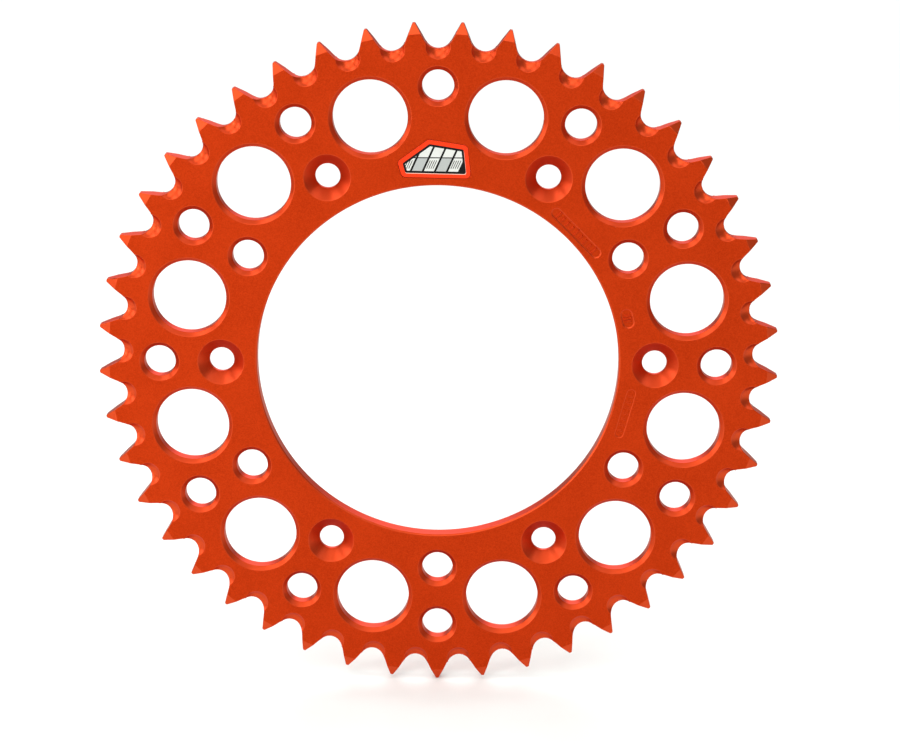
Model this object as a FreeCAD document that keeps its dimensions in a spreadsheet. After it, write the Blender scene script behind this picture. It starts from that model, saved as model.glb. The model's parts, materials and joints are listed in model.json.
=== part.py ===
import FreeCAD, Part
import math
import os
import Sketcher

# Rear sprocket for a motorcycle: one machined aluminium plate for a 520 chain, with a die-cut
# label set in a shallow recess. Millimetres. The wheel's axis is Y, +Z is up, and the face that
# shows when the wheel is on the motorcycle looks along -Y. The origin is the bore's centre on
# the plate's middle plane, which is the chain line.

SIZES = {
    # The chain that it drives and the teeth
    "teeth": 45,
    "chain_pitch": 15.875,
    "chain_roller": 10.16,
    "roller_play": 0.13,
    "flank_angle": 25.0,
    "tip_round": 0.6,
    "tip_relief": 0.05,
    "tip_height": 3.611,
    "bevel_reach": 3.6,
    "bevel_depth": 1.5,
    # The plate
    "plate_thickness": 6.0,
    "bore_diameter": 125.0,
    "bore_chamfer": 0.45,
    "back_chamfer": 0.5,
    # Mud scoops at the foot of every tooth space, on both faces
    "scoop_ball": 5.3,
    "scoop_lift": 3.33,
    "scoop_outset": 0.8,
    # Hub bolt holes, countersunk from the front
    "bolts": 6,
    "bolt_circle": 150.0,
    "bolt_hole": 8.5,
    "bolt_sink": 16.0,
    # Large lightening holes
    "large_holes": 12,
    "large_circle": 177.0,
    "large_hole": 25.4,
    "large_chamfer": 1.3,
    # Small lightening holes, on an outer and an inner circle
    "small_hole": 10.8,
    "small_chamfer": 1.45,
    "outer_circle": 192.5,
    "inner_holes": 5,
    # The label: each side is a line at a reach from the label's centre, turned by an angle
    "badge_across": -1.2,
    "badge_radius": 71.5,
    "badge_corner": 1.6,
    "badge_top_turn": 81.0,
    "badge_top_reach": 6.3,
    "badge_shoulder_turn": 126.0,
    "badge_shoulder_reach": 6.6,
    "badge_left_turn": 196.0,
    "badge_left_reach": 12.2,
    "badge_foot_turn": 269.0,
    "badge_foot_reach": 6.3,
    "badge_right_turn": 6.0,
    "badge_right_reach": 11.6,
    "badge_gap": 0.25,
    "badge_adhesive": 0.1,
    "badge_film": 0.15,
    "badge_laminate": 0.15,
    "badge_sunk": 0.05,
    # Marks stamped between the bore and the holes
    "mark_depth": 0.3,
    "mark_bar": 0.55,
    "size_mark_angle": 44.6,
    "size_mark_radius": 66.1,
    "size_mark_length": 23.0,
    "size_mark_width": 3.7,
    "tooth_mark_angle": 14.2,
    "tooth_mark_radius": 67.2,
    "tooth_mark_length": 7.0,
    "tooth_mark_width": 4.2,
    "batch_mark_angle": -15.0,
    "batch_mark_radius": 67.4,
    "batch_mark_length": 18.0,
    "batch_mark_width": 3.2,
    "batch_mark_depth": 0.12,
}

# How far a cutting shape runs past the surface that it opens, so that the cut is clean.
OVERCUT = 1.0

# Expressions that several features share
HALF = "Sizes.plate_thickness / 2"
PITCH_RADIUS = "Sizes.chain_pitch / 2 / sin(180deg / Sizes.teeth)"
SEAT_RADIUS = "(Sizes.chain_roller + Sizes.roller_play) / 2"
ROOT_RADIUS = f"({PITCH_RADIUS} - {SEAT_RADIUS})"
# The blank reaches past the pitch circle by the height of the teeth above it.
TIP_RADIUS = f"({PITCH_RADIUS} + Sizes.tip_height)"
# The flank's lean from the tooth space's middle line, how far the tip rounding's centre stands
# off the wheel's centre across the flank, and how far it stands off along the flank
LEAN = "(Sizes.flank_angle + 180 / Sizes.teeth)"
TIP_OFFSET = f"({SEAT_RADIUS} + Sizes.tip_round - {PITCH_RADIUS} * sin({LEAN}))"
TIP_RUN = f"sqrt(({TIP_RADIUS} + Sizes.tip_relief - Sizes.tip_round)^2 - {TIP_OFFSET}^2)"
RECESS_DEPTH = "(Sizes.badge_adhesive + Sizes.badge_film + Sizes.badge_laminate + Sizes.badge_sunk)"

doc = FreeCAD.newDocument("RearSprocket")
sheet = doc.addObject("Spreadsheet::Sheet", "Sizes")
for row, (alias, size) in enumerate(SIZES.items(), start=1):
    sheet.set(f"A{row}", alias)
    sheet.set(f"B{row}", str(size))
    sheet.setAlias(f"B{row}", alias)
doc.recompute()


def value(expression):
    """The present value of an expression on the sheet's cells."""
    result = sheet.evalExpression(str(expression))
    return getattr(result, "Value", result)


def newBody(label):
    body = doc.addObject("PartDesign::Body", label)
    body.Label = label
    return body


def originFeature(body, role):
    return next(feature for feature in body.Origin.OriginFeatures if feature.Role == role)


def newSketch(body, name, plane, offset=("0", "0", "0"), turn="0"):
    """A sketch on one of the body's origin planes, moved and turned within that plane."""
    sketch = body.newObject("Sketcher::SketchObject", name)
    sketch.AttachmentSupport = (originFeature(body, plane), [""])
    sketch.MapMode = "FlatFace"
    sketch.AttachmentOffset = FreeCAD.Placement(
        FreeCAD.Vector(*[value(length) for length in offset]),
        FreeCAD.Rotation(FreeCAD.Vector(0, 0, 1), value(turn)))
    for axis, length in zip("xyz", offset):
        sketch.setExpression(f"AttachmentOffset.Base.{axis}", f"({length}) * 1mm")
    if plane == "XZ_Plane":
        sketch.setExpression("AttachmentOffset.Rotation.Angle", f"({turn}) * 1deg")
    return sketch


def bind(sketch, kind, places, expression, unit="1mm"):
    """A dimension of the sketch that follows an expression."""
    size = value(expression)
    datum = math.radians(size) if unit == "1deg" else size
    index = sketch.addConstraint(Sketcher.Constraint(kind, *places, datum))
    sketch.setExpression(f"Constraints[{index}]", f"({expression}) * {unit}")


def joinEnds(sketch, lines):
    for line, following in zip(lines, lines[1:] + lines[:1]):
        sketch.addConstraint(Sketcher.Constraint("Coincident", line, 2, following, 1))


def polygon(sketch, corners):
    """A closed outline through corners, each given as two expressions."""
    points = [FreeCAD.Vector(value(across), value(up), 0) for across, up in corners]
    lines = []
    for start, end in zip(points, points[1:] + points[:1]):
        lines.append(sketch.addGeometry(Part.LineSegment(start, end), False))
    joinEnds(sketch, lines)
    for line, (across, up) in zip(lines, corners):
        bind(sketch, "DistanceX", (-1, 1, line, 1), across)
        bind(sketch, "DistanceY", (-1, 1, line, 1), up)


def cut(body, kind, name, sketch, **settings):
    """A Pocket or Groove that must take material away."""
    before = body.Shape.Volume
    feature = body.newObject(f"PartDesign::{kind}", name)
    feature.Profile = sketch
    for setting, choice in settings.items():
        setattr(feature, setting, choice)
    doc.recompute()
    if body.Shape.Volume >= before:
        raise RuntimeError(f"{name} cuts nothing")
    return feature


def polar(body, name, originals, occurrences, angle="360"):
    """Copies of features about the wheel's axis."""
    pattern = body.newObject("PartDesign::PolarPattern", name)
    pattern.Originals = originals
    pattern.Axis = (originFeature(body, "Y_Axis"), [""])
    pattern.Reversed = True
    pattern.Angle = value(angle)
    pattern.Occurrences = int(value(occurrences))
    pattern.setExpression("Angle", f"({angle}) * 1deg")
    pattern.setExpression("Occurrences", occurrences)
    body.Tip = pattern
    doc.recompute()
    return pattern


def pin(sketch, line, end, across, up):
    """Holds one end of a line or arc at a place given by two expressions."""
    bind(sketch, "DistanceX", (-1, 1, line, end), across)
    bind(sketch, "DistanceY", (-1, 1, line, end), up)


def arc(sketch, centre, start, end):
    """A counterclockwise arc in a sketch about a centre, from one place to another, each a pair
    of expressions. With both ends held, one coordinate of the centre settles the radius."""
    middle, first, last = [FreeCAD.Vector(value(x), value(y), 0) for x, y in (centre, start, end)]
    angles = [math.atan2((point - middle).y, (point - middle).x) for point in (first, last)]
    circle = Part.Circle(middle, FreeCAD.Vector(0, 0, 1), (first - middle).Length)
    index = sketch.addGeometry(Part.ArcOfCircle(circle, *angles), False)
    pin(sketch, index, 1, *start)
    pin(sketch, index, 2, *end)
    chord = last - first
    if abs(chord.x) > abs(chord.y):
        bind(sketch, "DistanceY", (-1, 1, index, 3), centre[1])
    else:
        bind(sketch, "DistanceX", (-1, 1, index, 3), centre[0])
    return index


def line(sketch, start, end):
    points = [FreeCAD.Vector(value(x), value(y), 0) for x, y in (start, end)]
    return sketch.addGeometry(Part.LineSegment(*points), False)


def toothSpace(body):
    """The space between two teeth at the top of the wheel: the roller's seat, a straight flank
    on each side and the rounding of the two tooth tips, open outwards past the tips."""
    sketch = newSketch(body, "ToothSpace", "XZ_Plane")
    seatAcross = f"{SEAT_RADIUS} * cos({LEAN})"
    seatUp = f"{PITCH_RADIUS} - {SEAT_RADIUS} * sin({LEAN})"
    flankAcross = f"({TIP_OFFSET} - Sizes.tip_round) * cos({LEAN}) + {TIP_RUN} * sin({LEAN})"
    flankUp = f"{TIP_RUN} * cos({LEAN}) - ({TIP_OFFSET} - Sizes.tip_round) * sin({LEAN})"
    crestAcross = f"{TIP_OFFSET} * cos({LEAN}) + {TIP_RUN} * sin({LEAN})"
    centreUp = f"{TIP_RUN} * cos({LEAN}) - {TIP_OFFSET} * sin({LEAN})"
    crestUp = f"{centreUp} + Sizes.tip_round"
    mouthUp = f"{TIP_RADIUS} + {OVERCUT}"

    seatRight, seatLeft = (seatAcross, seatUp), (f"-({seatAcross})", seatUp)
    flankRight, flankLeft = (flankAcross, flankUp), (f"-({flankAcross})", flankUp)
    crestRight, crestLeft = (crestAcross, crestUp), (f"-({crestAcross})", crestUp)
    mouthRight, mouthLeft = (crestAcross, mouthUp), (f"-({crestAcross})", mouthUp)
    tipRight, tipLeft = (crestAcross, centreUp), (f"-({crestAcross})", centreUp)

    seat = arc(sketch, ("0", PITCH_RADIUS), seatLeft, seatRight)
    rightTip = arc(sketch, tipRight, crestRight, flankRight)
    leftTip = arc(sketch, tipLeft, flankLeft, crestLeft)
    rightFlank = line(sketch, seatRight, flankRight)
    rightMouth = line(sketch, crestRight, mouthRight)
    mouth = line(sketch, mouthRight, mouthLeft)
    leftMouth = line(sketch, mouthLeft, crestLeft)
    leftFlank = line(sketch, flankLeft, seatLeft)
    pin(sketch, mouth, 1, *mouthRight)
    pin(sketch, mouth, 2, *mouthLeft)
    meetings = [
        (seat, 2, rightFlank, 1), (rightFlank, 2, rightTip, 2), (rightTip, 1, rightMouth, 1),
        (rightMouth, 2, mouth, 1), (mouth, 2, leftMouth, 1), (leftMouth, 2, leftTip, 2),
        (leftTip, 1, leftFlank, 1), (leftFlank, 2, seat, 1),
    ]
    for meeting in meetings:
        sketch.addConstraint(Sketcher.Constraint("Coincident", *meeting))
    return sketch


def blank(body):
    """The turned disc: bore, edge chamfers and the bevels that thin the teeth on both faces."""
    sketch = newSketch(body, "BlankSection", "XY_Plane")
    bore = "Sizes.bore_diameter / 2"
    boreEdge = f"{bore} + Sizes.bore_chamfer"
    bevelEdge = f"{TIP_RADIUS} - Sizes.bevel_reach"
    polygon(sketch, [
        (boreEdge, f"-{HALF}"),
        (bevelEdge, f"-{HALF}"),
        (TIP_RADIUS, f"Sizes.bevel_depth - {HALF}"),
        (TIP_RADIUS, f"{HALF} - Sizes.bevel_depth"),
        (bevelEdge, HALF),
        (boreEdge, HALF),
        (bore, f"{HALF} - Sizes.bore_chamfer"),
        (bore, f"Sizes.bore_chamfer - {HALF}"),
    ])
    disc = body.newObject("PartDesign::Revolution", "Blank")
    disc.Profile = sketch
    disc.ReferenceAxis = (sketch, ["V_Axis"])
    disc.Angle = 360
    body.Tip = disc
    doc.recompute()
    return disc


def mudScoop(body, name, side):
    """A ball-ended cutter's dish at the foot of the top tooth space, on one face."""
    ball = body.newObject("PartDesign::SubtractiveSphere", name)
    ball.setExpression("Radius", "Sizes.scoop_ball * 1mm")
    ball.setExpression("Placement.Base.y", f"{side} * ({HALF} + Sizes.scoop_lift) * 1mm")
    ball.setExpression("Placement.Base.z", f"({ROOT_RADIUS} + Sizes.scoop_outset) * 1mm")
    doc.recompute()
    return ball


def holeRing(body, name, circle, start, count, sweep, bore, frontChamfer):
    """Holes through the plate on a circle about the wheel's axis, chamfered on both faces."""
    place = (f"({circle}) / 2 * cos({start})", "0", f"({circle}) / 2 * sin({start})")
    sketch = newSketch(body, f"{name}Section", "XY_Plane", place)
    wall = f"({bore}) / 2"
    polygon(sketch, [
        ("0", f"-({HALF} + {OVERCUT})"),
        (f"{wall} + {frontChamfer} + {OVERCUT}", f"-({HALF} + {OVERCUT})"),
        (wall, f"{frontChamfer} - {HALF}"),
        (wall, f"{HALF} - Sizes.back_chamfer"),
        (f"{wall} + Sizes.back_chamfer + {OVERCUT}", f"{HALF} + {OVERCUT}"),
        ("0", f"{HALF} + {OVERCUT}"),
    ])
    hole = cut(body, "Groove", name, sketch, ReferenceAxis=(sketch, ["V_Axis"]), Angle=360)
    polar(body, f"{name}Ring", [hole], count, sweep)


def stampedMark(body, name, depth, bars, tallBars):
    """A round-ended recess along the bore's edge with bars standing in it, like the teeth of a
    comb, in place of stamped characters."""
    mark = f"Sizes.{name}"
    place = (f"{mark}_radius * cos({mark}_angle)", f"{mark}_radius * sin({mark}_angle)", HALF)
    sketch = newSketch(body, f"{name}_outline", "XZ_Plane", place, f"{mark}_angle - 90")
    end = f"{mark}_width / 2"
    reach = f"({mark}_length - {mark}_width) / 2"
    top = line(sketch, (reach, end), (f"-({reach})", end))
    left = arc(sketch, (f"-({reach})", "0"), (f"-({reach})", end), (f"-({reach})", f"-({end})"))
    foot = line(sketch, (f"-({reach})", f"-({end})"), (reach, f"-({end})"))
    right = arc(sketch, (reach, "0"), (reach, f"-({end})"), (reach, end))
    joinEnds(sketch, [top, left, foot, right])
    for bar in range(bars):
        middle = f"({reach}) * ({2 * bar + 1} / {bars} - 1)"
        tall = 0.32 if bar in tallBars else 0.22
        half = f"{mark}_width * {tall}"
        left, right = f"{middle} - Sizes.mark_bar / 2", f"{middle} + Sizes.mark_bar / 2"
        polygon(sketch, [(left, f"-({half})"), (right, f"-({half})"), (right, half), (left, half)])
    pocket = cut(body, "Pocket", name, sketch)
    pocket.setExpression("Length", f"({depth}) * 1mm")
    doc.recompute()


def badgeOutline(sketch, growth):
    """The label's outline: five straight sides with rounded corners between them. Each side
    stands at its reach from the label's centre, plus the growth, turned by its own angle."""
    sides = [
        (f"Sizes.badge_{name}_turn", f"(Sizes.badge_{name}_reach + {growth})")
        for name in ("right", "top", "shoulder", "left", "foot")
    ]
    corner = f"(Sizes.badge_corner + {growth})"
    starts, ends, centres = [], [], []
    for (turn, reach), (nextTurn, nextReach) in zip(sides, sides[1:] + sides[:1]):
        # The corner's centre stands a corner radius inside both sides that meet there.
        spread = f"sin({nextTurn} - {turn})"
        inside, nextInside = f"({reach} - {corner})", f"({nextReach} - {corner})"
        across = f"(({inside} * sin({nextTurn}) - {nextInside} * sin({turn})) / {spread})"
        up = f"(({nextInside} * cos({turn}) - {inside} * cos({nextTurn})) / {spread})"
        centres.append((across, up))
        starts.append((f"{across} + {corner} * cos({turn})", f"{up} + {corner} * sin({turn})"))
        ends.append((f"{across} + {corner} * cos({nextTurn})", f"{up} + {corner} * sin({nextTurn})"))
    edges = []
    for index, centre in enumerate(centres):
        edges.append(arc(sketch, centre, starts[index], ends[index]))
        edges.append(line(sketch, ends[index], starts[(index + 1) % len(starts)]))
    joinEnds(sketch, edges)


def badgeSketch(body, name, behindFace, growth):
    """The label's outline at a depth below the front face."""
    place = ("Sizes.badge_across", "Sizes.badge_radius", f"{HALF} - ({behindFace})")
    sketch = newSketch(body, name, "XZ_Plane", place)
    badgeOutline(sketch, growth)
    return sketch


def sprocketPlate():
    """The plate, machined in one piece from 7075 aluminium."""
    body = newBody("sprocket_plate")
    blank(body)

    sinkChamfer = "(Sizes.bolt_sink - Sizes.bolt_hole) / 2"
    small = ("Sizes.small_hole", "Sizes.small_chamfer")
    spacing = "360 / Sizes.large_holes"
    holeRing(body, "BoltHole", "Sizes.bolt_circle", "0", "Sizes.bolts", "360",
             "Sizes.bolt_hole", sinkChamfer)
    holeRing(body, "LargeHole", "Sizes.large_circle", f"{spacing} / 2", "Sizes.large_holes", "360",
             "Sizes.large_hole", "Sizes.large_chamfer")
    holeRing(body, "OuterHole", "Sizes.outer_circle", "0", "Sizes.large_holes", "360", *small)
    # The inner circle skips the place at the top, where the label sits.
    holeRing(body, "InnerHole", "Sizes.bolt_circle", "90 + 360 / Sizes.bolts", "Sizes.inner_holes",
             "(Sizes.inner_holes - 1) * 360 / Sizes.bolts", *small)

    recess = cut(body, "Pocket", "BadgeRecess", badgeSketch(body, "RecessOutline", "0", "Sizes.badge_gap"))
    recess.setExpression("Length", f"{RECESS_DEPTH} * 1mm")
    doc.recompute()
    stampedMark(body, "size_mark", "Sizes.mark_depth", 9, (0, 4, 8))
    stampedMark(body, "tooth_mark", "Sizes.mark_depth", 3, (1,))
    stampedMark(body, "batch_mark", "Sizes.batch_mark_depth", 7, (2, 5))

    space = cut(body, "Pocket", "ToothGap", toothSpace(body), Type="ThroughAll", Midplane=True)
    frontScoop = mudScoop(body, "FrontScoop", -1)
    backScoop = mudScoop(body, "BackScoop", 1)
    polar(body, "ToothGaps", [space, frontScoop, backScoop], "Sizes.teeth")
    return body


def badgeLayer(label, behindFace, thickness):
    """One layer of the label, its back at a depth below the plate's front face."""
    body = newBody(label)
    pad = body.newObject("PartDesign::Pad", f"{label}_pad")
    pad.Profile = badgeSketch(body, f"{label}_outline", behindFace, "0")
    pad.setExpression("Length", f"{thickness} * 1mm")
    body.Tip = pad
    doc.recompute()
    return body


parts = [
    sprocketPlate(),
    badgeLayer("badge_adhesive", RECESS_DEPTH, "Sizes.badge_adhesive"),
    badgeLayer("badge_film", f"{RECESS_DEPTH} - Sizes.badge_adhesive", "Sizes.badge_film"),
    badgeLayer("badge_laminate", "Sizes.badge_sunk + Sizes.badge_laminate", "Sizes.badge_laminate"),
]
doc.recompute()

for feature in doc.Objects:
    if any(state in ("Invalid", "Error") for state in feature.State):
        raise RuntimeError(f"{feature.Name} failed")
for part in parts:
    shape = part.Shape
    if shape.isNull() or not shape.isValid() or len(shape.Solids) != 1:
        raise RuntimeError(f"{part.Label} is not one valid solid")

os.makedirs("parts", exist_ok=True)
for part in parts:
    part.Shape.exportStep(f"parts/{part.Label}.step")
    box = part.Shape.BoundBox
    print(f"{part.Label}: {part.Shape.Volume:.1f} mm3, "
          f"{box.XLength:.2f} x {box.YLength:.2f} x {box.ZLength:.2f} mm")
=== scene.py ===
import bpy
import bmesh
import json
import math
from mathutils import Matrix, Vector


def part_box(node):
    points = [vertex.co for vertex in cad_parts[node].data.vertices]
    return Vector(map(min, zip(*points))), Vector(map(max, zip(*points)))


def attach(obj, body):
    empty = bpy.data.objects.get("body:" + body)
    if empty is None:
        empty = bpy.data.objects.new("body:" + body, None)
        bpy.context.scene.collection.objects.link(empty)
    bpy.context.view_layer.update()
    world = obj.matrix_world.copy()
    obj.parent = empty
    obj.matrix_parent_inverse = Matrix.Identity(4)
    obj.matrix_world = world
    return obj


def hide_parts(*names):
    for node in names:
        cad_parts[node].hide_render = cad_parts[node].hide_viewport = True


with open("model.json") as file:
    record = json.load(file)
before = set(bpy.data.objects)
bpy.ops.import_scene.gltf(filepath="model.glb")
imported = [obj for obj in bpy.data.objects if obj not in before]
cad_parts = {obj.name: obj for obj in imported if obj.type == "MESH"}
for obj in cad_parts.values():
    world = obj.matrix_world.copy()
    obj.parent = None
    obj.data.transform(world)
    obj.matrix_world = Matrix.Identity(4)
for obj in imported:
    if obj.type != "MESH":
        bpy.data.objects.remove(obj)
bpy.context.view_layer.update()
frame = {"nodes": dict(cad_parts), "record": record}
print("frame loaded")

mm = 0.001
mounts = {mount["name"]: mount["dims"] for mount in frame["record"]["mounts"]}
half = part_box("sprocket_plate")[1].y / mm  # half the plate's thickness, in mm


def linear(hexColour):
    channels = [int(hexColour[place:place + 2], 16) / 255 for place in (1, 3, 5)]
    return [c / 12.92 if c <= 0.04045 else ((c + 0.055) / 1.055) ** 2.4 for c in channels] + [1.0]


def addNode(tree, kind, settings={}, inputs={}):
    node = tree.nodes.new(kind)
    for name, setting in settings.items():
        setattr(node, name, setting)
    for key, source in inputs.items():
        if isinstance(source, bpy.types.NodeSocket):
            tree.links.new(source, node.inputs[key])
        else:
            node.inputs[key].default_value = source
    return node


def newObject(name, mesh):
    made = bpy.data.objects.new(name, mesh)
    bpy.context.scene.collection.objects.link(made)
    return made


def evaluatedMesh(source):
    graph = bpy.context.evaluated_depsgraph_get()
    return bpy.data.meshes.new_from_object(source.evaluated_get(graph))


def polar(radius, degrees):
    return Vector((radius * math.cos(math.radians(degrees)), radius * math.sin(math.radians(degrees))))


def arcPoints(centre, radius, start, end, steps):
    return [centre + polar(radius, start + (end - start) * step / steps) for step in range(steps + 1)]


def revolved(name, section, segments, centre=Vector((0, 0))):
    # a closed section of (radius, depth) points, in mm, turned about an axis along Y
    shape = bmesh.new()
    poles = {i: shape.verts.new((centre.x * mm, depth * mm, centre.y * mm))
             for i, (radius, depth) in enumerate(section) if radius == 0}
    rings = []
    for segment in range(segments):
        ring = []
        for i, (radius, depth) in enumerate(section):
            spot = centre + polar(radius, 360 * segment / segments)
            place = (spot.x * mm, depth * mm, spot.y * mm)
            ring.append(poles[i] if i in poles else shape.verts.new(place))
        rings.append(ring)
    for ring, following in zip(rings, rings[1:] + rings[:1]):
        for i in range(len(section)):
            j = (i + 1) % len(section)
            corners = list(dict.fromkeys([ring[i], ring[j], following[j], following[i]]))
            if len(corners) > 2:
                shape.faces.new(corners)
    return finishedShape(name, shape)


def prism(name, outline, front, back, backOutline=None):
    # an outline of (across, up) points, in mm, carried from one depth to another, or to a second
    # outline with as many points
    shape = bmesh.new()
    loops = [[shape.verts.new((p.x * mm, depth * mm, p.y * mm)) for p in loop]
             for loop, depth in ((outline, front), (backOutline or outline, back))]
    shape.faces.new(loops[0])
    shape.faces.new(loops[1])
    for i in range(len(outline)):
        j = (i + 1) % len(outline)
        shape.faces.new([loops[0][i], loops[0][j], loops[1][j], loops[1][i]])
    return finishedShape(name, shape)


def finishedShape(name, shape):
    bmesh.ops.recalc_face_normals(shape, faces=shape.faces)
    mesh = bpy.data.meshes.new(name)
    shape.to_mesh(mesh)
    shape.free()
    return newObject(name, mesh)


def newMaterial(name):
    material = bpy.data.materials.new(name)
    material.use_nodes = True
    tree = material.node_tree
    return material, tree, tree.nodes["Principled BSDF"]


# 7075 aluminium, bead blasted and then orange anodised: a satin skin with a very fine even grain,
# bright where it catches a light and paler at a grazing angle, like any dyed metal.
blasted = {
    "colour": "#CA3C13",
    "shade": "#B5310B",
    "roughness": 0.5,
    "grain": 0.45,      # mm, coarser than the real 0.1 mm so that it shows
    "clouds": 18.0,     # mm, slow changes in the dye
    "cloudShare": 0.3,  # how strongly they show beside the grain
    "darkest": 0.45,    # the grain's values that get the shade and the full colour
    "lightest": 0.8,
    "relief": 0.012,    # mm
    "bump": 0.35,
}


def anodisedBlastedAluminium():
    material, tree, surface = newMaterial("anodisedBlastedAluminium")
    place = addNode(tree, "ShaderNodeTexCoord").outputs["Object"]
    grain = addNode(tree, "ShaderNodeTexNoise", {}, {
        "Vector": place, "Scale": 1 / (blasted["grain"] * mm), "Detail": 3.0, "Roughness": 0.6})
    clouds = addNode(tree, "ShaderNodeTexNoise", {}, {
        "Vector": place, "Scale": 1 / (blasted["clouds"] * mm), "Detail": 2.0})
    blend = addNode(tree, "ShaderNodeMath", {"operation": "MULTIPLY_ADD", "use_clamp": True}, {
        0: clouds.outputs["Fac"], 1: blasted["cloudShare"], 2: grain.outputs["Fac"]})
    tone = addNode(tree, "ShaderNodeValToRGB", {}, {"Fac": blend.outputs[0]})
    tone.color_ramp.elements[0].position = blasted["darkest"]
    tone.color_ramp.elements[1].position = blasted["lightest"]
    tone.color_ramp.elements[0].color = linear(blasted["shade"])
    tone.color_ramp.elements[1].color = linear(blasted["colour"])
    bump = addNode(tree, "ShaderNodeBump", {}, {
        "Height": grain.outputs["Fac"], "Strength": blasted["bump"],
        "Distance": blasted["relief"] * mm})
    tree.links.new(tone.outputs["Color"], surface.inputs["Base Color"])
    tree.links.new(bump.outputs["Normal"], surface.inputs["Normal"])
    surface.inputs["Metallic"].default_value = 1.0
    surface.inputs["Roughness"].default_value = blasted["roughness"]
    return material


# The same anodised metal where a drill, countersink or ball cutter has passed after blasting:
# a little brighter, with fine rings about the tool's axis.
machined = {
    "colour": "#CC3F0E",
    "grazing": "#C8A08C",   # the dyed oxide also darkens what it reflects at a grazing angle
    "roughness": 0.36,
    "coat": 0.28,           # the clear sealed oxide over the dye
    "coatRoughness": 0.3,
    "ringSpacing": 0.32,    # mm between tool rings
    "relief": 0.002,        # mm
    "bump": 0.5,
}


def anodisedMachinedAluminium():
    material, tree, surface = newMaterial("anodisedMachinedAluminium")
    radius = addNode(tree, "ShaderNodeAttribute", {"attribute_name": "toolRadius"})
    phase = addNode(tree, "ShaderNodeMath", {"operation": "MULTIPLY"}, {
        0: radius.outputs["Fac"], 1: 2 * math.pi / machined["ringSpacing"]})
    rings = addNode(tree, "ShaderNodeMath", {"operation": "SINE"}, {0: phase.outputs[0]})
    bump = addNode(tree, "ShaderNodeBump", {}, {
        "Height": rings.outputs[0], "Strength": machined["bump"], "Distance": machined["relief"] * mm})
    tree.links.new(bump.outputs["Normal"], surface.inputs["Normal"])
    surface.inputs["Base Color"].default_value = linear(machined["colour"])
    surface.inputs["Specular Tint"].default_value = linear(machined["grazing"])
    surface.inputs["Metallic"].default_value = 1.0
    surface.inputs["Roughness"].default_value = machined["roughness"]
    surface.inputs["Coat Weight"].default_value = machined["coat"]
    surface.inputs["Coat Roughness"].default_value = machined["coatRoughness"]
    return material


faceMetal = anodisedBlastedAluminium()
cutMetal = anodisedMachinedAluminium()
print("metals made")


plate = {
    "teeth": 45,
    "pitch": 15.875,            # 520 chain
    "seatRadius": 5.145,
    "flankAngle": 25.0,
    "tipRound": 0.6,
    "tipRelief": 0.05,
    "outsideRadius": 117.4,
    "bevelReach": 3.6,
    "bevelDepth": 1.5,
    "boreChamfer": 0.45,
    "backChamfer": 0.5,
    "ballRadius": 5.3,
    "ballLift": 3.33,
    "ballOutset": 0.8,
    "edgeBreak": 0.14,          # tumbled edges
    "overcut": 1.0,             # how far every cutter reaches past the metal
    "toothSegments": 16,        # of the blank's rim, for each tooth
    "seatSteps": 9,
    "tipSteps": 5,
    "ballSegments": 48,
    "ballSteps": 24,
    "holeSegments": 96,
    "largeHoleSegments": 144,
}
# hole rings: circle radius, hole radius, front chamfer, count, first angle, step
boltRadius = mounts["hub_bolts"]["hole_r_mm"]
boltCircle = mounts["hub_bolts"]["pcd_mm"] / 2
holeRings = {
    "bolt hole": (boltCircle, boltRadius, 3.75, 6, 0, 60),
    "large hole": (88.5, 12.7, 1.3, 12, 15, 30),
    "outer hole": (96.25, 5.4, 1.45, 12, 0, 30),
    "inner hole": (boltCircle, 5.4, 1.45, 5, 150, 60),
}
pitchRadius = plate["pitch"] / 2 / math.sin(math.pi / plate["teeth"])
ballCircle = pitchRadius - plate["seatRadius"] + plate["ballOutset"]


def blankSection():
    bore, tip, reach = mounts["hub_bore"]["r_mm"], plate["outsideRadius"], plate["bevelReach"]
    chamfer, depth = plate["boreChamfer"], half - plate["bevelDepth"]
    return [(bore + chamfer, -half), (tip - reach, -half), (tip, -depth), (tip, depth),
            (tip - reach, half), (bore + chamfer, half), (bore, half - chamfer), (bore, chamfer - half)]


def toothSpaceOutline():
    # the roller's seat, then up one flank and round the tooth's tip, mirrored to the other side
    seat, tipRound = plate["seatRadius"], plate["tipRound"]
    lean = plate["flankAngle"] + 180 / plate["teeth"]
    sine, cosine = math.sin(math.radians(lean)), math.cos(math.radians(lean))
    offset = seat + tipRound - pitchRadius * sine
    reach = plate["outsideRadius"] + plate["tipRelief"] - tipRound
    run = math.sqrt(reach ** 2 - offset ** 2)
    tipCentre = Vector((offset * cosine + run * sine, run * cosine - offset * sine))
    right = arcPoints(Vector((0, pitchRadius)), seat, 270, 360 - lean, plate["seatSteps"])[1:]
    right += arcPoints(tipCentre, tipRound, 180 - lean, 90, plate["tipSteps"])
    right.append(Vector((tipCentre.x, plate["outsideRadius"] + plate["overcut"])))
    left = [Vector((-p.x, p.y)) for p in reversed(right)]
    return left + [Vector((0, pitchRadius - seat))] + right


def ballSection():
    curve = arcPoints(Vector((0, 0)), plate["ballRadius"], -90, 90, plate["ballSteps"])
    return [(max(0.0, p.x), p.y) for p in curve]


def holeSection(radius, chamfer):
    over, back = plate["overcut"], plate["backChamfer"]
    return [(0, -half - over), (radius + chamfer + over, -half - over), (radius, chamfer - half),
            (radius, half - back), (radius + back + over, half + over), (0, half + over)]


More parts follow.
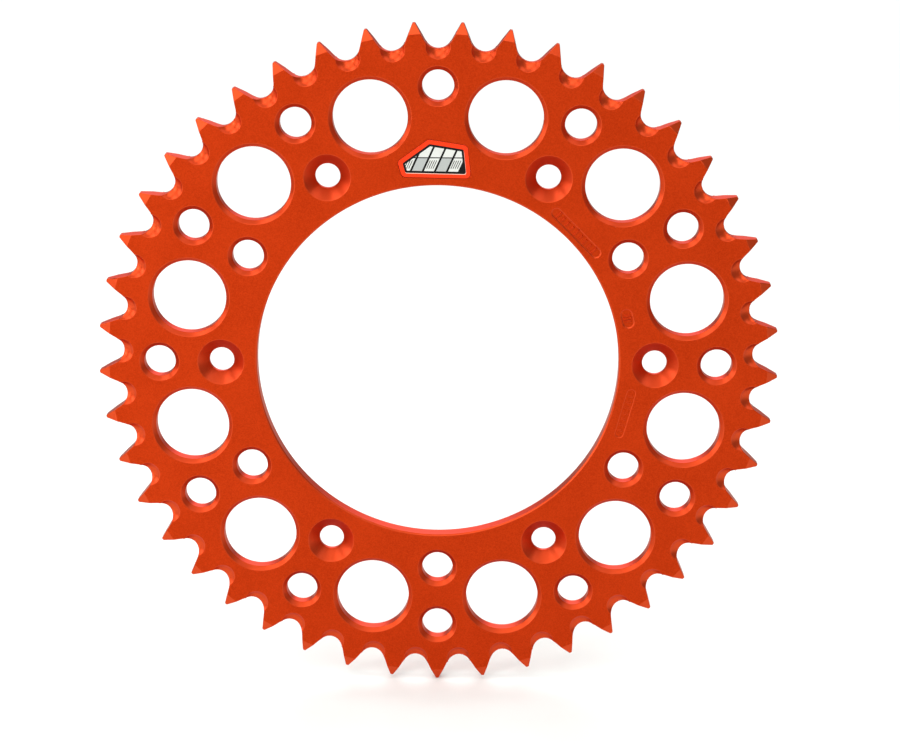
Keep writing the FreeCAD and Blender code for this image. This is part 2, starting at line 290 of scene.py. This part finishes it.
def ringOfCutters():
    # copies of one cutter turned about the wheel's axis, counterclockwise seen from the front
    tree = bpy.data.node_groups.new("ring of cutters", "GeometryNodeTree")
    for name, kind in (("Cutter", "Object"), ("Count", "Int"), ("Start", "Float"), ("Step", "Float")):
        tree.interface.new_socket(name, in_out="INPUT", socket_type=f"NodeSocket{kind}")
    tree.interface.new_socket("Cutters", in_out="OUTPUT", socket_type="NodeSocketGeometry")
    given = addNode(tree, "NodeGroupInput").outputs
    shape = addNode(tree, "GeometryNodeObjectInfo", {}, {"Object": given["Cutter"]})
    spots = addNode(tree, "GeometryNodePoints", {}, {"Count": given["Count"]})
    index = addNode(tree, "GeometryNodeInputIndex")
    degrees = addNode(tree, "ShaderNodeMath", {"operation": "MULTIPLY_ADD"}, {
        0: index.outputs[0], 1: given["Step"], 2: given["Start"]})
    turn = addNode(tree, "ShaderNodeMath", {"operation": "MULTIPLY"}, {
        0: degrees.outputs[0], 1: -math.radians(1)})
    rotation = addNode(tree, "ShaderNodeCombineXYZ", {}, {"Y": turn.outputs[0]})
    copies = addNode(tree, "GeometryNodeInstanceOnPoints", {}, {
        "Points": spots.outputs[0], "Instance": shape.outputs["Geometry"],
        "Rotation": rotation.outputs[0]})
    solid = addNode(tree, "GeometryNodeRealizeInstances", {}, {0: copies.outputs[0]})
    addNode(tree, "NodeGroupOutput", {}, {0: solid.outputs[0]})
    return tree


def machinedPlateTree(names):
    # the turned blank less every ring of cutters
    tree = bpy.data.node_groups.new("machined plate", "GeometryNodeTree")
    tree.interface.new_socket("Blank", in_out="INPUT", socket_type="NodeSocketGeometry")
    inputs = (("cutter", "Object"), ("count", "Int"), ("start", "Float"), ("step", "Float"))
    for name in names:
        for label, kind in inputs:
            tree.interface.new_socket(f"{name} {label}", in_out="INPUT",
                                      socket_type=f"NodeSocket{kind}")
    tree.interface.new_socket("Metal", in_out="INPUT", socket_type="NodeSocketMaterial")
    tree.interface.new_socket("Plate", in_out="OUTPUT", socket_type="NodeSocketGeometry")
    given = addNode(tree, "NodeGroupInput").outputs
    cut = addNode(tree, "GeometryNodeMeshBoolean", {"operation": "DIFFERENCE", "solver": "MANIFOLD"}, {
        "Mesh 1": given["Blank"]})
    ring = ringOfCutters()
    for name in names:
        cutters = addNode(tree, "GeometryNodeGroup", {"node_tree": ring}, {
            key.capitalize(): given[f"{name} {key}"] for key, kind in inputs})
        tree.links.new(cutters.outputs[0], cut.inputs["Mesh 2"])
    solid = addNode(tree, "GeometryNodeRealizeInstances", {}, {0: cut.outputs["Mesh"]})
    metal = addNode(tree, "GeometryNodeSetMaterial", {}, {
        "Geometry": solid.outputs[0], "Material": given["Metal"]})
    addNode(tree, "NodeGroupOutput", {}, {0: metal.outputs[0]})
    return tree


def plateCutters():
    reach = half + plate["overcut"]
    up = Vector((0, ballCircle))
    ball = revolved("front ball", ballSection(), plate["ballSegments"], up)
    backBall = revolved("back ball", ballSection(), plate["ballSegments"], up)
    lift = (half + plate["ballLift"]) * mm
    ball.data.transform(Matrix.Translation((0, -lift, 0)))
    backBall.data.transform(Matrix.Translation((0, lift, 0)))
    step = 360 / plate["teeth"]
    space = prism("tooth space", toothSpaceOutline(), -reach, reach)
    rings = {
        "tooth space": (space, plate["teeth"], 0, step),
        "front scoop": (ball, plate["teeth"], 0, step),
        "back scoop": (backBall, plate["teeth"], 0, step),
    }
    for name, (circle, radius, chamfer, count, start, gap) in holeRings.items():
        segments = plate["largeHoleSegments" if name == "large hole" else "holeSegments"]
        cutter = revolved(name, holeSection(radius, chamfer), segments, Vector((circle, 0)))
        rings[name] = (cutter, count, start, gap)
    return rings


def machinePlate():
    blank = revolved("sprocketPlate", blankSection(), plate["toothSegments"] * plate["teeth"])
    rings = plateCutters()
    tree = machinedPlateTree(list(rings))
    modifier = blank.modifiers.new("machining", "NODES")
    modifier.node_group = tree
    sockets = {item.name: item.identifier for item in tree.interface.items_tree
               if item.in_out == "INPUT"}
    for name, (cutter, count, start, step) in rings.items():
        modifier[sockets[f"{name} cutter"]] = cutter
        modifier[sockets[f"{name} count"]] = count
        modifier[sockets[f"{name} start"]] = float(start)
        modifier[sockets[f"{name} step"]] = float(step)
    modifier[sockets["Metal"]] = faceMetal
    cutPlate = evaluatedMesh(blank)
    blank.modifiers.remove(modifier)
    blank.data = cutPlate
    for ring in rings.values():
        bpy.data.objects.remove(ring[0])
    return blank


plateObject = machinePlate()
print("plate machined:", len(plateObject.data.polygons), "faces")


badge = {
    "centre": Vector((-1.2, 71.5)),
    "corner": 1.6,
    "sides": [(6.0, 11.6), (81.0, 6.3), (126.0, 6.6), (196.0, 12.2), (269.0, 6.3)],  # turn, reach
    "gap": 0.25,
    "recess": 0.45,
    "cornerSteps": 6,
}


def badgeOutline(growth, corner):
    # straight sides at their reach from the centre, rounded where they meet
    points = []
    sides = [(turn, reach + growth) for turn, reach in badge["sides"]]
    for (turn, reach), (nextTurn, nextReach) in zip(sides, sides[1:] + sides[:1]):
        a, b = math.radians(turn), math.radians(nextTurn)
        inside, nextInside, spread = reach - corner, nextReach - corner, math.sin(b - a)
        centre = Vector(((inside * math.sin(b) - nextInside * math.sin(a)) / spread,
                         (nextInside * math.cos(a) - inside * math.cos(b)) / spread))
        end = nextTurn if nextTurn > turn else nextTurn + 360
        points += arcPoints(badge["centre"] + centre, corner, turn, end, badge["cornerSteps"])
    return points


# stamped marks: angle, radius from the wheel's axis, length, width, depth, bars, tall bars
marks = {
    "size mark": (44.6, 66.1, 23.0, 3.7, 0.3, 9, (0, 4, 8)),
    "tooth mark": (14.2, 67.2, 7.0, 4.2, 0.3, 3, (1,)),
    "batch mark": (-15.0, 67.4, 18.0, 3.2, 0.12, 7, (2, 5)),
}
stamp = {
    "barWidth": 0.55,
    "tallBar": 0.32,    # half a bar's height, as a share of the mark's width
    "shortBar": 0.22,
    "endSteps": 16,
    "draft": 1.3,       # how far a stamped wall leans for each mm of depth
    "proud": 0.04,      # the bars stay this far below the face
    "root": 0.1,        # and reach this far into the metal under the pocket
    "cutAbove": 0.2,
}


def capsule(length, width):
    reach, end = (length - width) / 2, width / 2
    right = arcPoints(Vector((reach, 0)), end, -90, 90, stamp["endSteps"])
    return right + arcPoints(Vector((-reach, 0)), end, 90, 270, stamp["endSteps"])


def bar(middle, width, rise):
    return [middle + Vector((x * width / 2, z * rise)) for x, z in ((-1, -1), (1, -1), (1, 1), (-1, 1))]


def cutAway(target, cutter):
    modifier = target.modifiers.new("cut", "BOOLEAN")
    modifier.operation = "DIFFERENCE"
    modifier.solver = "MANIFOLD"
    modifier.object = cutter
    cutMesh = evaluatedMesh(target)
    target.modifiers.remove(modifier)
    target.data = cutMesh
    bpy.data.objects.remove(cutter)


def stampMark(target, name, angle, radius, length, width, depth, bars, tall):
    # a round-ended pocket with sloping walls, and bars that stand in it; returns the bars
    place = Matrix.Rotation(math.radians(90 - angle), 4, "Y")
    place.translation = Vector((polar(radius, angle).x * mm, 0, polar(radius, angle).y * mm))
    above, lean = stamp["cutAbove"], stamp["draft"]
    wider, narrower = 2 * lean * above, 2 * lean * depth
    mouth = capsule(length + wider, width + wider)
    floorOutline = capsule(length - narrower, width - narrower)
    pocket = prism(name, mouth, -half - above, depth - half, floorOutline)
    pocket.data.transform(place)
    cutAway(target, pocket)
    standing = []
    for k in range(bars):
        middle = Vector(((length - width) / 2 * ((2 * k + 1) / bars - 1), 0))
        rise = width * stamp["tallBar" if k in tall else "shortBar"]
        foot = lean * (depth + stamp["root"] - stamp["proud"])
        standing.append(prism("bar", bar(middle, stamp["barWidth"], rise), stamp["proud"] - half,
                              depth + stamp["root"] - half,
                              bar(middle, stamp["barWidth"] + foot, rise + foot / 2)))
        standing[-1].data.transform(place)
    return standing


cutAway(plateObject, prism("recess", badgeOutline(badge["gap"], badge["corner"] + badge["gap"]),
                           -half - plate["overcut"], badge["recess"] - half))
markBars = [piece for name, sizes in marks.items() for piece in stampMark(plateObject, name, *sizes)]
print("recess and marks cut")


edges = {
    "sharp": 20.0,          # degrees; a sharper corner is broken
    "straight": 0.3,        # degrees; flatter neighbours become one face
    "merge": 0.04,          # mm
    "sliver": 0.01,
    "segments": 2,
    "markShare": 0.3,       # of the edge break, on the small marks
    "markMargin": 0.5,
    "labelReach": 15.0,
    "toolMargin": 0.3,      # how far past a chamfer its tool rings reach
    "level": 0.9999,        # how upright a normal must be for a face to be the flat
    "nearlyLevel": 0.999,
    "flatGap": 0.001,
}


def holeCentres():
    for circle, radius, chamfer, count, start, step in holeRings.values():
        for k in range(count):
            yield polar(circle, start + k * step), radius + chamfer + edges["toolMargin"]
    for k in range(plate["teeth"]):
        yield polar(ballCircle, 90 + 360 * k / plate["teeth"]), plate["ballRadius"]


def inMark(spot):
    if spot.y > edges["markMargin"] - half:
        return False
    flat = Vector((spot.x, spot.z))
    near = [(polar(radius, angle), length / 2 + edges["markMargin"])
            for angle, radius, length, *others in marks.values()]
    near.append((badge["centre"], edges["labelReach"]))
    return any((flat - centre).length < reach for centre, reach in near)


def breakEdges(target):
    shape = bmesh.new()
    shape.from_mesh(target.data)
    for piece in markBars:
        shape.from_mesh(piece.data)
        bpy.data.objects.remove(piece)
    bmesh.ops.remove_doubles(shape, verts=shape.verts, dist=edges["merge"] * mm)
    bmesh.ops.dissolve_degenerate(shape, edges=shape.edges, dist=edges["sliver"] * mm)
    bmesh.ops.dissolve_limit(shape, verts=shape.verts, edges=shape.edges,
                             angle_limit=math.radians(edges["straight"]))
    weights = shape.edges.layers.float.new("bevel_weight_edge")
    for edge in shape.edges:
        if len(edge.link_faces) == 2 and edge.calc_face_angle() > math.radians(edges["sharp"]):
            small = inMark((edge.verts[0].co + edge.verts[1].co) / 2 / mm)
            edge[weights] = edges["markShare"] if small else 1.0
    for face in shape.faces:
        face.smooth = True
    shape.to_mesh(target.data)
    shape.free()
    modifier = target.modifiers.new("edge break", "BEVEL")
    modifier.width = plate["edgeBreak"] * mm
    modifier.segments = edges["segments"]
    modifier.limit_method = "WEIGHT"
    modifier.use_clamp_overlap = False
    modifier.harden_normals = True
    modifier.miter_outer = "MITER_ARC"
    rounded = evaluatedMesh(target)
    target.modifiers.remove(modifier)
    target.data = rounded


def refillFlats(target):
    # the two flats are filled again from their outlines, and every corner keeps a hard-set normal
    mesh = target.data
    kept = mesh.attributes.new("kept", "FLOAT_VECTOR", "CORNER")
    kept.data.foreach_set("vector", [c for normal in mesh.corner_normals for c in normal.vector])
    shape = bmesh.new()
    shape.from_mesh(mesh)
    for side in (-1, 1):
        flat = [face for face in shape.faces if face.normal.y * side > edges["level"]
                and abs(face.calc_center_median().y / mm - side * half) < edges["flatGap"]]
        area = sum(face.calc_area() for face in flat)
        rim = [edge for edge in {edge for face in flat for edge in face.edges}
               if len(set(edge.link_faces) - set(flat)) == 1]
        bmesh.ops.delete(shape, geom=flat, context="FACES_KEEP_BOUNDARY")
        filled = bmesh.ops.triangle_fill(shape, edges=rim, use_beauty=True, normal=(0, side, 0))
        new = [face for face in filled["geom"] if isinstance(face, bmesh.types.BMFace)]
        for face in new:
            face.smooth = True
            if face.normal.y * side < 0:
                face.normal_flip()
        newArea = sum(face.calc_area() for face in new)
        areas = [round(value / mm ** 2, 1) for value in (area, newArea)]
        print("flat refilled, mm2 before and after:", *areas)
    shape.to_mesh(mesh)
    shape.free()
    normals = [tuple(corner.vector) for corner in mesh.attributes["kept"].data]
    for face in mesh.polygons:
        for corner in face.loop_indices:
            if not any(normals[corner]):
                normals[corner] = tuple(face.normal)
    mesh.attributes.remove(mesh.attributes["kept"])
    mesh.normals_split_custom_set(normals)


def markToolPaths(target):
    # every face that isn't the flat of the plate was cut by a tool that turned about a hole's axis
    mesh = target.data
    mesh.materials.clear()
    mesh.materials.append(faceMetal)
    mesh.materials.append(cutMetal)
    for face in mesh.polygons:
        face.material_index = 0 if abs(face.normal.y) > edges["nearlyLevel"] else 1
    radii = mesh.attributes.new("toolRadius", "FLOAT", "POINT")
    centres = list(holeCentres())
    for vertex, radius in zip(mesh.vertices, radii.data):
        spot = Vector((vertex.co.x, vertex.co.z)) / mm
        radius.value = 0.0
        for centre, reach in centres:
            if abs(spot.x - centre.x) < reach and abs(spot.y - centre.y) < reach:
                distance = (spot - centre).length
                if distance < reach:
                    radius.value = distance
                    break


breakEdges(plateObject)
refillFlats(plateObject)
markToolPaths(plateObject)
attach(plateObject, "root")
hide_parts("sprocket_plate")
print("plate finished:", sum(len(face.vertices) - 2 for face in plateObject.data.polygons), "triangles")


# Screen-printed vinyl under a clear matt laminate: flat even ink, faintly mottled by the screen's
# dots, and a smooth skin with hardly any shine.
vinyl = {
    "roughness": 0.42,
    "ior": 1.45,
    "specular": 0.2,
    "dots": 0.5,        # mm, coarser than the real 0.2 mm screen so that it shows
    "mottle": 0.1,      # how much the dots darken the ink
    "relief": 0.004,    # mm
    "bump": 0.3,
}


def laminatedVinyl(name, colour):
    material, tree, surface = newMaterial(name)
    place = addNode(tree, "ShaderNodeTexCoord").outputs["Object"]
    dots = addNode(tree, "ShaderNodeTexNoise", {}, {
        "Vector": place, "Scale": 1 / (vinyl["dots"] * mm), "Detail": 2.0})
    tone = addNode(tree, "ShaderNodeValToRGB", {}, {"Fac": dots.outputs["Fac"]})
    ink = linear(colour)
    tone.color_ramp.elements[0].color = [c * (1 - vinyl["mottle"]) for c in ink[:3]] + [1.0]
    tone.color_ramp.elements[1].color = ink
    bump = addNode(tree, "ShaderNodeBump", {}, {
        "Height": dots.outputs["Fac"], "Strength": vinyl["bump"], "Distance": vinyl["relief"] * mm})
    tree.links.new(tone.outputs["Color"], surface.inputs["Base Color"])
    tree.links.new(bump.outputs["Normal"], surface.inputs["Normal"])
    surface.inputs["Roughness"].default_value = vinyl["roughness"]
    surface.inputs["IOR"].default_value = vinyl["ior"]
    surface.inputs["Specular IOR Level"].default_value = vinyl["specular"]
    return material


inks = {
    "orange": laminatedVinyl("orangeVinyl", "#FF3808"),
    # the pale ink is a painted highlight: a light line along the lower right edge of the black field,
    # where the label's rim would catch the light
    "pale": laminatedVinyl("paleKeylineInk", "#F6C4B0"),
    "black": laminatedVinyl("blackInk", "#0D0909"),
    "silver": laminatedVinyl("silverWhiteInk", "#DCDCD6"),
    "grey": laminatedVinyl("greyInk", "#B4B6B3"),
    "line": laminatedVinyl("fineBlackInk", "#161212"),
}
# how deep each ink starts and ends below the plate's face, in mm
inkDepth = {
    "orange": (0.09, 0.20),
    "pale": (0.08, 0.12),
    "black": (0.07, 0.12),
    "silver": (0.06, 0.10),
    "grey": (0.06, 0.10),
    "line": (0.05, 0.09),
}
motif = {
    "border": 1.45,
    "margin": 0.75,         # of black round the bars
    "bars": 5,
    "barWidth": 3.35,
    "gap": 0.75,
    "slant": 0.45,
    "split": 0.5,           # height of the line that parts each bar
    "lineWidth": 0.36,
    "hatchWidth": 0.26,
    "hatchStep": 0.72,
    # moves the pale copy of the black field down and to the right, so that it shows as a painted
    # highlight along the field's lower edge
    "shift": Vector((0.10, -0.22)),
}


def insideLabel(polygon, inset):
    # what of a convex polygon lies within the label's sides, each moved in by the inset
    for turn, reach in badge["sides"]:
        outward, limit, kept = polar(1, turn), reach - inset, []
        for a, b in zip(polygon, polygon[1:] + polygon[:1]):
            past, nextPast = a.dot(outward) - limit, b.dot(outward) - limit
            if past <= 0:
                kept.append(a)
            if (past < 0) != (nextPast < 0):
                kept.append(a.lerp(b, past / (past - nextPast)))
        polygon = kept
    return polygon


def inkPiece(ink, outline):
    front, back = inkDepth[ink]
    piece = prism(ink, outline, front - half, back - half)
    piece.data.materials.append(inks[ink])
    return piece


def slantedBar(left, right, low, high):
    slant = motif["slant"]
    corners = ((left, low), (right, low), (right, high), (left, high))
    return [Vector((x + slant * z, z)) for x, z in corners]


def labelPieces():
    edge, corner = motif["border"], badge["corner"]
    field = badgeOutline(-edge, corner - 0.9)
    # the pale piece is a painted highlight: the black field moved down and to the right, seen only as a
    # light line at its lower right edge
    pieces = [inkPiece("orange", badgeOutline(0, corner)), inkPiece("black", field),
              inkPiece("pale", [p + motif["shift"] for p in field])]
    inset = edge + motif["margin"]
    across = motif["bars"] * motif["barWidth"] + (motif["bars"] - 1) * motif["gap"]
    middle, line = motif["split"], motif["lineWidth"] / 2
    for k in range(motif["bars"]):
        left = -across / 2 + k * (motif["barWidth"] + motif["gap"])
        right = left + motif["barWidth"]
        shapes = [("silver", slantedBar(left, right, middle + line, 9)),
                  ("grey" if k % 2 else "silver", slantedBar(left, right, -9, middle - line))]
        if k % 2 == 0:
            x = left + motif["hatchStep"] / 2
            while x + motif["hatchWidth"] < right:
                shapes.append(("line", slantedBar(x, x + motif["hatchWidth"], -3.2, middle - 0.9)))
                x += motif["hatchStep"]
        for ink, shape in shapes:
            inside = insideLabel(shape, inset)
            if len(inside) > 2:
                pieces.append(inkPiece(ink, [p + badge["centre"] for p in inside]))
    return pieces


def joined(name, pieces):
    shape, used = bmesh.new(), []
    for piece in pieces:
        start = len(shape.faces)
        shape.from_mesh(piece.data)
        shape.faces.ensure_lookup_table()
        ink = piece.data.materials[0]
        if ink not in used:
            used.append(ink)
        for face in shape.faces[start:]:
            face.material_index = used.index(ink)
        bpy.data.objects.remove(piece)
    whole = finishedShape(name, shape)
    for ink in used:
        whole.data.materials.append(ink)
    return whole


label = joined("labelPrint", labelPieces())
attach(label, "root")
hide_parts("badge_laminate")
for node, ink in (("badge_film", inks["orange"]), ("badge_adhesive", inks["grey"])):
    mesh = frame["nodes"][node].data
    mesh.materials.clear()
    mesh.materials.append(ink)
print("label printed")


view = {
    "place": (18.92, -801.98, 220.85),      # mm
    "turn": (74.2597, -0.1643, 1.0950),     # degrees
    "lens": 96.05,
}
cameraData = bpy.data.cameras.new("camera")
cameraData.lens = view["lens"]
cameraData.clip_start = 0.01
camera = newObject("camera", cameraData)
camera.location = [length * mm for length in view["place"]]
camera.rotation_euler = [math.radians(angle) for angle in view["turn"]]
bpy.context.scene.camera = camera

# a white satin table top, larger than the view
table = {"size": 12.0, "colour": "#EEF6F3", "roughness": 0.55}
tableMaterial, _, tableSurface = newMaterial("whiteSatinTable")
tableSurface.inputs["Base Color"].default_value = linear(table["colour"])
tableSurface.inputs["Roughness"].default_value = table["roughness"]
reach, height = table["size"] / 2, -plate["outsideRadius"] * mm
tableMesh = bpy.data.meshes.new("table")
tableMesh.from_pydata([(-reach, -reach, height), (reach, -reach, height), (reach, reach, height),
                       (-reach, reach, height)], [], [(0, 1, 2, 3)])
tableMesh.materials.append(tableMaterial)
floor = newObject("table", tableMesh)

# soft boxes round the table, all pointed at the sprocket's centre: where each hangs and its size, in
# metres, and how bright its face is
softBoxes = {
    "frontLight": {"place": (-0.35, -1.30, 1.05), "size": (1.6, 0.9), "brightness": 1.9},
    "leftLight": {"place": (-1.00, -1.25, 0.38), "size": (0.30, 0.30), "brightness": 14.0},
    "rightLight": {"place": (0.42, -1.40, 0.58), "size": (0.28, 0.28), "brightness": 5.0},
    "sideLight": {"place": (-1.35, -0.22, 0.45), "size": (0.7, 0.7), "brightness": 3.1},
    "lowLight": {"place": (-0.80, -0.90, 0.00), "size": (0.35, 0.25), "brightness": 2.7},
    "frontTopLight": {"place": (0.0, -0.90, 1.40), "size": (0.8, 0.5), "brightness": 2.4},
    "topLight": {"place": (0.0, -0.10, 1.50), "size": (1.2, 0.8), "brightness": 0.6},
    "topLeftLight": {"place": (-0.90, -0.20, 1.30), "size": (0.8, 0.8), "brightness": 2.8},
    "topRightLight": {"place": (0.90, -0.20, 1.30), "size": (0.8, 0.8), "brightness": 1.5},
    "backLight": {"place": (0.0, 3.4, 2.4), "size": (5.0, 2.6), "brightness": 2.8},
}
for name, setting in softBoxes.items():
    lamp = bpy.data.lights.new(name, "AREA")
    lamp.shape = "RECTANGLE"
    lamp.size, lamp.size_y = setting["size"]
    lamp.energy = setting["brightness"] * math.pi * lamp.size * lamp.size_y
    lampObject = newObject(name, lamp)
    lampObject.location = setting["place"]
    lampObject.rotation_euler = Vector(setting["place"]).to_track_quat("Z", "Y").to_euler()
room = {"colour": "#FFFFFF", "strength": 0.42}
world = bpy.data.worlds.new("room")
world.use_nodes = True
background = world.node_tree.nodes["Background"]
background.inputs["Color"].default_value = linear(room["colour"])
background.inputs["Strength"].default_value = room["strength"]
bpy.context.scene.world = world
bpy.context.scene.view_settings.view_transform = "Standard"
print("camera and lights set")
